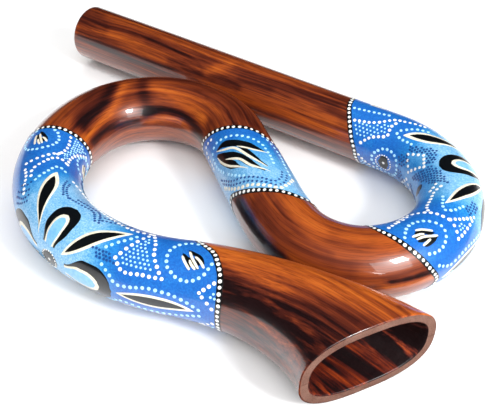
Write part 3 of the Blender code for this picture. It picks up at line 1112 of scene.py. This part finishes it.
def right_band():
    """Band over the right bend: the flower is on its outer side, with its lower half a mirror image."""
    band = Band("right_band", RIGHT_START, RIGHT_END)
    heart = (425, 92)
    band.eye(*heart, 7.5)
    for place in (as_drawn, flipped(heart[1])):
        band.leaf(place((405, 56), (399, 28), (391, 2), (381, -13), (366, -31)), 6.2, 0.6)
        band.loop(*place((424, 64), (424, -24)), 13.2, 0.56)
        band.leaf(place((437, 58), (443, 40), (450, 26), (461, 10), (478, -5)), 5.8, 0.48)
        band.leaf(place((412, 82), (398, 76), (382, 72)), 4.6)
        band.sky_lines(
            place,
            (4.4, ((379, 6), (371, -5), (366, -15), (359, -30), (365, -39), (380, -37))),
            (4.2, ((470, -14), (481, -6), (485, 4), (480, 14), (472, 22))),
            (4.4, ((513, 73), (505, 82), (497, 78), (490, 75), (482, 76), (470, 81))),
            (4.6, ((312, -13), (326, -8), (342, 0))))
        band.white_lines(
            place,
            ((318, -38), (334, -30), (343, -18), (349, -7), (360, 2), (372, 16)),
            ((352, -15), (350, -28), (351, -45), (339, -56), (330, -74)))
        band.fill(place((314, -36), (334, -30), (349, -12), (351, -45), (329, -74), (319, -62)), band.sky,
                  SMALL_DOT, 3.5, 2.4)
        band.dotted_patch(place((490, 20), (472, 47), (494, 51)))
        band.dotted_patch(place((385, -55), (401, -37), (414, -48), (398, -80)), filled=False)
        for corners in (((378, -44), (404, -10), (420, -28), (414, -48), (401, -34), (386, -52)),
                        ((416, -34), (452, -10), (446, -44), (424, -72), (402, -90), (418, -50))):
            band.fill(place(*corners), band.navy, NAVY_DOT, 2.8, 0.5)
        band.white_lines(
            place,
            ((454, -24), (462, -33), (474, -32), (486, -28), (493, -18)),
            ((449, -34), (458, -42)),
            ((535, -13), (528, -21), (516, -35), (507, -39)),
            ((504, -33), (497, -18), (493, 0), (491, 18)),
            ((523, -24), (511, -32)))
        for corners in (((374, -64), (384, -54), (394, -64), (388, -84), (379, -86)),
                        ((472, 22), (460, 34), (462, 50), (477, 40))):
            band.fill(place(*corners), band.navy, NAVY_DOT, 3.0, 0.4)
        band.sky_lines(
            place,
            (4.3, ((529, 14), (526, 4), (520, -6), (514, -8), (507, -3), (502, 8), (500, 18),
                   (500, 28), (504, 42), (511, 50), (518, 49))))
        band.feather(RIGHT_END_FEATHER, place)
    for route in (((340, 48), (330, 32), (320, 17)), ((354, 138), (348, 152), (341, 165))):
        band.leaf(route, 4.5)
    band.loop((436, heart[1]), (469, heart[1]), 16.5)
    band.leaf(((470, 92), (489, 96), (509, 103)), 6.0)
    band.eye(357, -98, 7.4)
    band.ring(360, -96, 12.5)
    band.black.disc(436, -76, 6.0)
    for distance, angle in ((333, 92), (514, -100)):
        band.ring(distance, angle, 13.5)
        band.feather(RIGHT_END_FEATHER, moved(distance - 514, angle - 22))
    band.white_lines(as_drawn, ((352, 52), (358, 72), (360, 92), (358, 112), (352, 132)))
    return band


# The light ground round each flower: distance of its middle along the horn, half length, and fade beyond it.
LEFT_LIGHT = (1060.0, 26.0, 34.0)
RIGHT_LIGHT = (425.0, 28.0, 36.0)


def light_ground(distance, middle, half, fade):
    """1 on the light ground round a flower, fading to 0 along the horn."""
    return 1.0 - smooth((np.abs(distance - middle) - half) / fade)


def left_light(distance, angle):
    """Light all the way round the tube."""
    return light_ground(distance, *LEFT_LIGHT)


def middle_light(distance, angle):
    """Lightest at the start of the band, deep blue at its end."""
    along = (edge_distance(MIDDLE_END, angle) - distance) / 75.0
    return np.clip(smooth(1.25 * along) * 0.95, 0.0, 1.0)


def right_light(distance, angle):
    """Light round the flower, and weaker on the side of the tube away from it."""
    away = np.abs((angle - 92.0 + 180.0) % 360.0 - 180.0)
    return light_ground(distance, *RIGHT_LIGHT) * (1.0 - 0.55 * smooth((away - 95.0) / 60.0))


def painted_bands():
    """Blue grounds and everything painted on them."""
    blue = blue_paint()
    paints = {
        "black": (plain_paint("black_paint", (0.0018, 0.0026, 0.0038), (0.0042, 0.0056, 0.0072)),
                  "black_paint"),
        "cream": (plain_paint("cream_paint", (0.72, 0.66, 0.50), (0.86, 0.81, 0.67)), "cream_paint"),
        "core": (plain_paint("sky_core_paint", (0.15, 0.42, 0.78), (0.24, 0.53, 0.86)), "sky_paint"),
        "white": (plain_paint("white_paint", (0.82, 0.82, 0.78), (0.92, 0.92, 0.89), 0.42), "white_paint"),
        "sky": (plain_paint("sky_paint", (0.34, 0.68, 0.92), (0.50, 0.80, 0.97), 0.42), "sky_paint"),
        "navy": (plain_paint("navy_paint", (0.004, 0.045, 0.20), (0.010, 0.078, 0.29)), "navy_paint"),
    }
    coat("left_band_blue", LEFT_START, LEFT_END, left_light, blue)
    coat("middle_band_blue", MIDDLE_START, MIDDLE_END, middle_light, blue)
    coat("right_band_blue", RIGHT_START, RIGHT_END, right_light, blue)
    for band in (left_band(), middle_band(), right_band()):
        band.finish(paints)


# ---------------------------------------------------------------- floor, light and camera
def direction(azimuth, elevation):
    """Unit vector from the part towards an azimuth (0 is -Y, 90 is +X) and elevation in degrees."""
    a, e = math.radians(azimuth), math.radians(elevation)
    return Vector((math.sin(a) * math.cos(e), -math.cos(a) * math.cos(e), math.sin(e)))


# The floor stops showing in the lacquer at an edge in front of the horn: azimuth (degrees), distance (m).
FLOOR_EDGE_AZIMUTH = 58.0
FLOOR_EDGE = 0.218
# How far the floor reaches (m).
FLOOR_REACH = 6.0
# Corners (mm) of the floor in the larger loop, which doesn't show in the lacquer either.
LOOP_FLOOR = ((-140, -30), (-60, -160), (44, -78), (-8, -16))


def floor_sheet(name, corners, faces, material, shines):
    """One flat sheet of the floor; it shows in the lacquer only if it shines."""
    mesh = bpy.data.meshes.new(name)
    mesh.from_pydata(corners, [], faces)
    mesh.materials.append(material)
    sheet = bpy.data.objects.new(name, mesh)
    bpy.context.scene.collection.objects.link(sheet)
    sheet.visible_glossy = shines


def studio_floor():
    """Wide pale floor of flush sheets: one behind the edge, with a hole, one ahead, and one in the hole."""
    material, tree, shader = new_material("pale_floor", 0.9, 0.0)
    colour = uneven(tree, noise(tree, object_place(tree), 3.0), (0.90, 0.90, 0.90), (0.93, 0.93, 0.93))
    tree.links.new(colour, shader.inputs["Base Color"])
    towards = direction(FLOOR_EDGE_AZIMUTH, 0.0)
    across = Vector((-towards.y, towards.x, 0.0)) * FLOOR_REACH
    back, edge, front = (towards * distance for distance in (-FLOOR_REACH, FLOOR_EDGE, FLOOR_REACH))
    hole = [Vector((x * MM, y * MM, 0.0)) for x, y in LOOP_FLOOR]
    around_hole = [(i, (i + 1) % 4, 4 + (i + 1) % 4, 4 + i) for i in range(4)]
    one_face = [(0, 1, 2, 3)]
    behind = [back - across, edge - across, edge + across, back + across, *hole]
    floor_sheet("studio_floor", behind, around_hole, material, True)
    ahead = [edge - across, front - across, front + across, edge + across]
    floor_sheet("studio_floor_front", ahead, one_face, material, False)
    floor_sheet("studio_floor_loop", hole, one_face, material, False)


MIDDLE = (cad_box[0] + cad_box[1]) / 2.0
SURROUNDINGS_STRENGTH = 0.55


def area_light(name, azimuth, elevation, away, size, power, glossy=True):
    """Square soft light aimed at the middle of the part, away and size in metres and power in watts."""
    data = bpy.data.lights.new(name, "AREA")
    data.size = size
    data.energy = power
    light = bpy.data.objects.new(name, data)
    bpy.context.scene.collection.objects.link(light)
    towards = direction(azimuth, elevation)
    light.location = MIDDLE + towards * away
    light.rotation_euler = towards.to_track_quat("Z", "Y").to_euler()
    light.visible_glossy = glossy


def studio_light():
    """A small bright key and a wider halo from the right, fills that leave no shine, pale surroundings."""
    area_light("key", 80.0, 34.5, 1.5, 0.28, 16.0)
    area_light("key_halo", 69.0, 25.0, 1.55, 0.80, 7.0)
    area_light("fill_front", 20.0, 55.0, 1.8, 1.6, 19.0, glossy=False)
    area_light("fill_back", 215.0, 60.0, 1.8, 1.6, 9.5, glossy=False)
    world = bpy.data.worlds.new("surroundings")
    world.use_nodes = True
    background = world.node_tree.nodes["Background"]
    background.inputs["Color"].default_value = (1.0, 1.0, 1.0, 1.0)
    background.inputs["Strength"].default_value = SURROUNDINGS_STRENGTH
    bpy.context.scene.world = world
    world.cycles_visibility.glossy = False


# Place of the camera as seen from its target: degrees and metres. The lens is in millimetres.
CAMERA_AZIMUTH = 33.0
CAMERA_ELEVATION = 39.36
CAMERA_DISTANCE = 0.595
CAMERA_TARGET = (0.0652, -0.0214, 0.031)
CAMERA_ROLL = 1.75
CAMERA_LENS = 56.06


def studio_camera():
    """Camera above the horn, rolled a little."""
    data = bpy.data.cameras.new("camera")
    data.lens = CAMERA_LENS
    data.sensor_width = 36.0
    data.clip_start = 0.02
    data.clip_end = 50.0
    camera = bpy.data.objects.new("camera", data)
    bpy.context.scene.collection.objects.link(camera)
    back = direction(CAMERA_AZIMUTH, CAMERA_ELEVATION)
    camera.location = Vector(CAMERA_TARGET) + back * CAMERA_DISTANCE
    aim = back.to_track_quat("Z", "Y").to_matrix()
    roll = Matrix.Rotation(math.radians(CAMERA_ROLL), 3, "Z")
    camera.rotation_euler = (aim @ roll).to_euler()
    bpy.context.scene.camera = camera


def build():
    """The whole scene."""
    wood = [lacquered_wood(), bore_wood(), cut_wood()]
    body_half("upper_body_half", 1, wood)
    body_half("lower_body_half", -1, wood)
    glue_line(glue())
    wax_ring(beeswax())
    painted_bands()
    studio_floor()
    studio_light()
    studio_camera()
    bpy.context.scene.view_settings.view_transform = "Standard"
    bpy.context.scene.view_settings.look = "None"


build()
